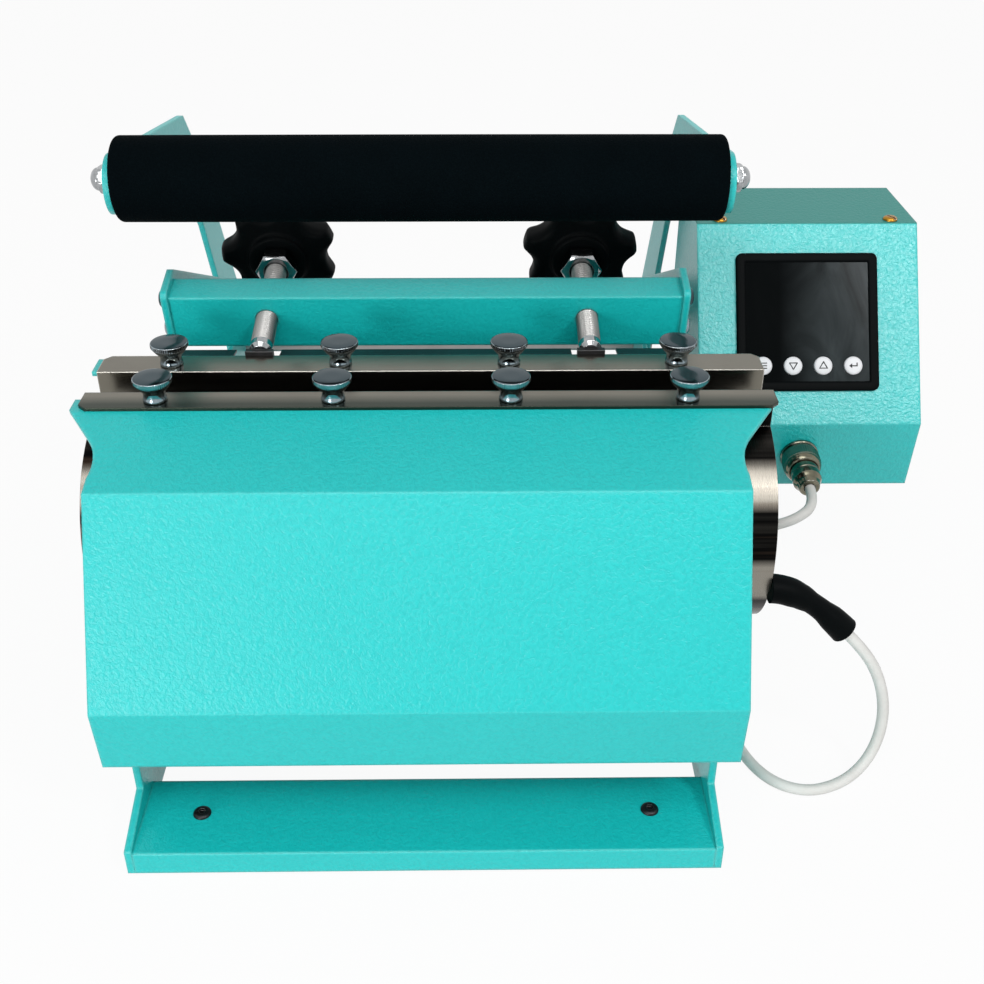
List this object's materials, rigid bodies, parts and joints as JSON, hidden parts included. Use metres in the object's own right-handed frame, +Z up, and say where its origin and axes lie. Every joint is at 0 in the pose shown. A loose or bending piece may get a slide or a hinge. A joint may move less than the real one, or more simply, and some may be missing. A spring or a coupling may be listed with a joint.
{
  "type": "tumbler heat press",
  "caption": "Tumbler heat press with a swinging heated jaw, threaded pressure screws, a long padded lever and a side control box.",
  "frame": {"origin": "on the axis of the heated bore, midway between the side plates", "axes": "+X along the bore towards the control box, +Y to the rear where the lever is hinged, +Z up"},
  "size_m": [0.3832, 0.385, 0.2605],
  "materials": {
    "teal_paint": "orange-peel powder coat, satin",
    "polished_bar": "polished steel with dark reflections",
    "spring_band": "fine circumferential brush",
    "heating_mat": "matt silicone over glass cloth",
    "zinc_plate": "bright zinc",
    "chrome_nut": "bright",
    "plain_steel": "turned",
    "black_oxide": "blackened",
    "foam": "closed-cell foam, matt",
    "foot_rubber": "matt",
    "black_plastic": "moulded, satin",
    "gloss_black": "clear gloss",
    "white_key": "satin",
    "board_green": "solder mask",
    "yellow_brass": "yellow passivated",
    "nickel": "nickel plate",
    "white_lead": "silicone sheath"
  },
  "bodies": {
    "frame": {"side_plate_left": "teal_paint", "side_plate_right": "teal_paint", "front_base_plate": "teal_paint", "rear_base_plate": "teal_paint", "rubber_feet": "foot_rubber", "base_screws": "black_oxide", "front_shell": "teal_paint", "front_clamp_bar": "polished_bar", "front_element_band": "spring_band", "front_heating_mat": "heating_mat", "front_thumb_screws": "zinc_plate", "jaw_hinge_pin": "plain_steel", "lever_pivot_shaft": "plain_steel", "pivot_washers": "plain_steel", "shell_spacers": "plain_steel", "shell_bolts": "black_oxide", "box_bracket": "teal_paint", "control_box_case": "teal_paint", "control_box_back": "teal_paint", "display_panel": "gloss_black", "circuit_board": "board_green", "lid_screws": "yellow_brass", "power_inlet": "black_plastic", "switch_frame": "black_plastic", "panel_socket": "nickel", "plug_body": "nickel", "lead_boot": "black_plastic", "element_lead": "white_lead"},
    "rear_jaw": {"rear_shell": "teal_paint", "rear_clamp_bar": "polished_bar", "rear_element_band": "spring_band", "rear_heating_mat": "heating_mat", "rear_thumb_screws": "zinc_plate", "pressure_blocks": "plain_steel"},
    "lever": {"lever_arm_left": "teal_paint", "lever_arm_right": "teal_paint", "handle_rod": "chrome_nut", "handle_tube": "plain_steel", "foam_grip": "foam", "acorn_nuts": "chrome_nut", "link_shaft": "plain_steel", "link_spacers": "plain_steel"},
    "press_yoke": {"press_beam": "teal_paint", "side_link_left": "teal_paint", "side_link_right": "teal_paint", "beam_bolts": "zinc_plate"},
    "tip_left": {"swivel_tip_left": "chrome_nut"},
    "tip_right": {"swivel_tip_right": "chrome_nut"},
    "screw_left": {"pressure_rod_left": "chrome_nut", "hex_nut_left": "chrome_nut", "star_knob_left": "black_plastic"},
    "screw_right": {"pressure_rod_right": "chrome_nut", "hex_nut_right": "chrome_nut", "star_knob_right": "black_plastic"},
    "menu_key": {"key_menu": "white_key"},
    "down_key": {"key_down": "white_key"},
    "up_key": {"key_up": "white_key"},
    "enter_key": {"key_enter": "white_key"},
    "power_rocker": {"rocker": "black_plastic"},
    "plug_ring": {"locking_ring": "nickel"}
  },
  "joints": [
    {"name": "lever_hinge", "type": "hinge", "parent": "frame", "child": "lever", "pos_m": [0, 0.23725, -0.0308], "axis": [-1, 0, 0], "range_deg": [0, 65]},
    {"name": "jaw_hinge", "type": "hinge", "parent": "frame", "child": "rear_jaw", "pos_m": [0, 0, -0.0608], "axis": [-1, 0, 0], "range_deg": [0, 16]},
    {"name": "yoke_hinge", "type": "hinge", "parent": "lever", "child": "press_yoke", "pos_m": [0, 0.22725, 0.0012], "axis": [1, 0, 0], "range_deg": [0, 66]},
    {"name": "left_tip_travel", "type": "slide", "parent": "press_yoke", "child": "tip_left", "axis": [0, 0.9781, 0.2079], "range_m": [0, 0.0048]},
    {"name": "left_knob_turn", "type": "hinge", "parent": "tip_left", "child": "screw_left", "pos_m": [-0.072, 0.02825, 0.0618], "axis": [0, 0.9781, 0.2079], "range_deg": [0, 1080]},
    {"name": "right_tip_travel", "type": "slide", "parent": "press_yoke", "child": "tip_right", "axis": [0, 0.9781, 0.2079], "range_m": [0, 0.0048]},
    {"name": "right_knob_turn", "type": "hinge", "parent": "tip_right", "child": "screw_right", "pos_m": [0.072, 0.02825, 0.0618], "axis": [0, 0.9781, 0.2079], "range_deg": [0, 1080]},
    {"name": "menu_key_press", "type": "slide", "parent": "frame", "child": "menu_key", "axis": [0, 0.8256, -0.5643], "range_m": [0, 0.0008], "stiffness_N_per_m": 300, "springref_m": -0.0005},
    {"name": "down_key_press", "type": "slide", "parent": "frame", "child": "down_key", "axis": [0, 0.8256, -0.5643], "range_m": [0, 0.0008], "stiffness_N_per_m": 300, "springref_m": -0.0005},
    {"name": "up_key_press", "type": "slide", "parent": "frame", "child": "up_key", "axis": [0, 0.8256, -0.5643], "range_m": [0, 0.0008], "stiffness_N_per_m": 300, "springref_m": -0.0005},
    {"name": "enter_key_press", "type": "slide", "parent": "frame", "child": "enter_key", "axis": [0, 0.8256, -0.5643], "range_m": [0, 0.0008], "stiffness_N_per_m": 300, "springref_m": -0.0005},
    {"name": "power_rocker_tilt", "type": "hinge", "parent": "frame", "child": "power_rocker", "pos_m": [0.211, 0.18125, 0.0042], "axis": [-1, 0, 0], "range_deg": [0, 18]},
    {"name": "plug_ring_turn", "type": "hinge", "parent": "frame", "child": "plug_ring", "pos_m": [0.184, 0.07403, -0.01766], "axis": [0, -0.9919, -0.1273], "range_deg": [0, 360]}
  ],
  "couplings": [
    {"joint": "jaw_hinge", "follows": "lever_hinge", "ratio": 0.24615},
    {"joint": "yoke_hinge", "follows": "lever_hinge", "ratio": 1.0154},
    {"joint": "left_tip_travel", "follows": "left_knob_turn", "m_per_rad": 0.00023873},
    {"joint": "right_tip_travel", "follows": "right_knob_turn", "m_per_rad": 0.00023873}
  ]
}
